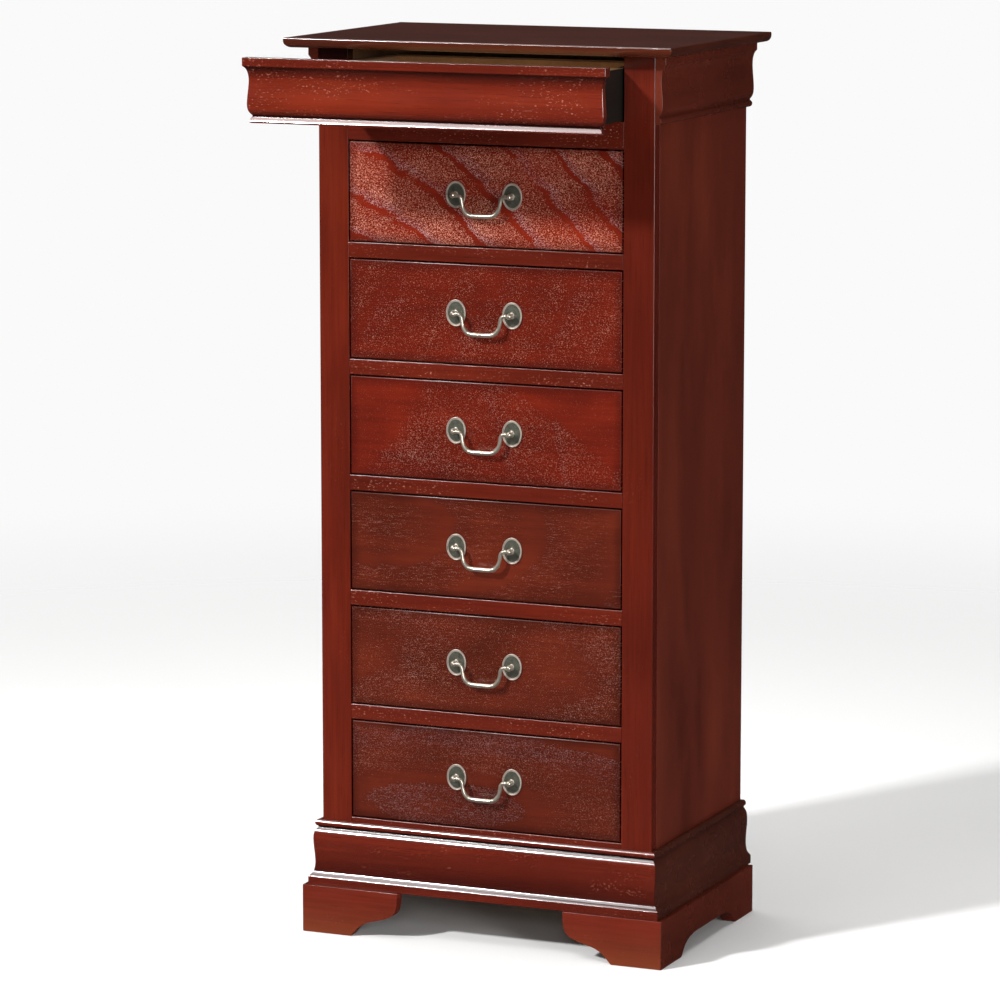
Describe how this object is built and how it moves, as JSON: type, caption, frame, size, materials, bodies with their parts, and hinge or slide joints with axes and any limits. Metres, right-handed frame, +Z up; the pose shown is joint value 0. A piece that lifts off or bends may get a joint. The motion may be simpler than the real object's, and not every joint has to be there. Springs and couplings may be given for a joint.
{
  "type": "jewelry armoire",
  "caption": "Tall narrow chest of drawers on bracket feet, with a moulded hidden drawer under the top, flush drawers with bail pulls and a felt-lined tray for jewelry.",
  "frame": {"origin": "on the floor under the middle of the outline as stored, with the top drawer standing open: x midway between the sides, y midway between the pulled drawer's front and the back, z at the undersides of the feet", "axes": "+Z up, -Y towards the front where the drawers open, +X towards the right-hand side seen from the front"},
  "size_m": [0.5862, 0.5732, 1.295],
  "materials": {
    "cherry_lacquer": "dark cherry stain under satin to glossy lacquer",
    "drawer_front_veneer": "open-pored cherry-stained veneer with pale pores, satin lacquer",
    "drawer_wood": "sealed plain wood",
    "felt_lining": "tan felt",
    "antique_metal": "antique pewter-coloured plating, rubbed bright on the edges"
  },
  "bodies": {
    "case": {"top_panel": "cherry_lacquer", "left_side_panel": "cherry_lacquer", "left_stile": "cherry_lacquer", "left_guide_board": "drawer_wood", "right_side_panel": "cherry_lacquer", "right_stile": "cherry_lacquer", "right_guide_board": "drawer_wood", "back_panel": "drawer_wood", "drawer_divider_1": "cherry_lacquer", "drawer_divider_2": "cherry_lacquer", "drawer_divider_3": "cherry_lacquer", "drawer_divider_4": "cherry_lacquer", "drawer_divider_5": "cherry_lacquer", "drawer_divider_6": "cherry_lacquer", "base_panel": "cherry_lacquer", "left_cornice_moulding": "cherry_lacquer", "right_cornice_moulding": "cherry_lacquer", "base_moulding_front": "cherry_lacquer", "base_moulding_left": "cherry_lacquer", "base_moulding_right": "cherry_lacquer", "left_front_foot": "cherry_lacquer", "left_side_foot_board": "cherry_lacquer", "left_base_cleat": "drawer_wood", "right_front_foot": "cherry_lacquer", "right_side_foot_board": "cherry_lacquer", "right_base_cleat": "drawer_wood"},
    "top_drawer": {"top_drawer_front": "cherry_lacquer", "top_drawer_box": "drawer_wood", "top_drawer_lining": "felt_lining"},
    "drawer_1": {"drawer_1_front": "drawer_front_veneer", "drawer_1_box": "drawer_wood", "pull_1_left_post": "antique_metal", "pull_1_right_post": "antique_metal"},
    "bail_1": {"pull_1_bail": "antique_metal"},
    "drawer_2": {"drawer_2_front": "drawer_front_veneer", "drawer_2_box": "drawer_wood", "pull_2_left_post": "antique_metal", "pull_2_right_post": "antique_metal"},
    "bail_2": {"pull_2_bail": "antique_metal"},
    "drawer_3": {"drawer_3_front": "drawer_front_veneer", "drawer_3_box": "drawer_wood", "pull_3_left_post": "antique_metal", "pull_3_right_post": "antique_metal"},
    "bail_3": {"pull_3_bail": "antique_metal"},
    "drawer_4": {"drawer_4_front": "drawer_front_veneer", "drawer_4_box": "drawer_wood", "pull_4_left_post": "antique_metal", "pull_4_right_post": "antique_metal"},
    "bail_4": {"pull_4_bail": "antique_metal"},
    "drawer_5": {"drawer_5_front": "drawer_front_veneer", "drawer_5_box": "drawer_wood", "pull_5_left_post": "antique_metal", "pull_5_right_post": "antique_metal"},
    "bail_5": {"pull_5_bail": "antique_metal"},
    "drawer_6": {"drawer_6_front": "drawer_front_veneer", "drawer_6_box": "drawer_wood", "pull_6_left_post": "antique_metal", "pull_6_right_post": "antique_metal"},
    "bail_6": {"pull_6_bail": "antique_metal"}
  },
  "joints": [
    {"name": "top_drawer_slide", "type": "slide", "parent": "case", "child": "top_drawer", "axis": [0, -1, 0], "range_m": [-0.1985, 0.085]},
    {"name": "drawer_1_slide", "type": "slide", "parent": "case", "child": "drawer_1", "axis": [0, -1, 0], "range_m": [0, 0.27]},
    {"name": "bail_1_swing", "type": "hinge", "parent": "drawer_1", "child": "bail_1", "pos_m": [0, -0.0845, 1.0802], "axis": [-1, 0, 0], "range_deg": [-16, 150]},
    {"name": "drawer_2_slide", "type": "slide", "parent": "case", "child": "drawer_2", "axis": [0, -1, 0], "range_m": [0, 0.27]},
    {"name": "bail_2_swing", "type": "hinge", "parent": "drawer_2", "child": "bail_2", "pos_m": [0, -0.0845, 0.9133], "axis": [-1, 0, 0], "range_deg": [-16, 150]},
    {"name": "drawer_3_slide", "type": "slide", "parent": "case", "child": "drawer_3", "axis": [0, -1, 0], "range_m": [0, 0.27]},
    {"name": "bail_3_swing", "type": "hinge", "parent": "drawer_3", "child": "bail_3", "pos_m": [0, -0.0845, 0.7464], "axis": [-1, 0, 0], "range_deg": [-16, 150]},
    {"name": "drawer_4_slide", "type": "slide", "parent": "case", "child": "drawer_4", "axis": [0, -1, 0], "range_m": [0, 0.27]},
    {"name": "bail_4_swing", "type": "hinge", "parent": "drawer_4", "child": "bail_4", "pos_m": [0, -0.0845, 0.5795], "axis": [-1, 0, 0], "range_deg": [-16, 150]},
    {"name": "drawer_5_slide", "type": "slide", "parent": "case", "child": "drawer_5", "axis": [0, -1, 0], "range_m": [0, 0.27]},
    {"name": "bail_5_swing", "type": "hinge", "parent": "drawer_5", "child": "bail_5", "pos_m": [0, -0.0845, 0.4126], "axis": [-1, 0, 0], "range_deg": [-16, 150]},
    {"name": "drawer_6_slide", "type": "slide", "parent": "case", "child": "drawer_6", "axis": [0, -1, 0], "range_m": [0, 0.27]},
    {"name": "bail_6_swing", "type": "hinge", "parent": "drawer_6", "child": "bail_6", "pos_m": [0, -0.0845, 0.2457], "axis": [-1, 0, 0], "range_deg": [-16, 150]}
  ]
}
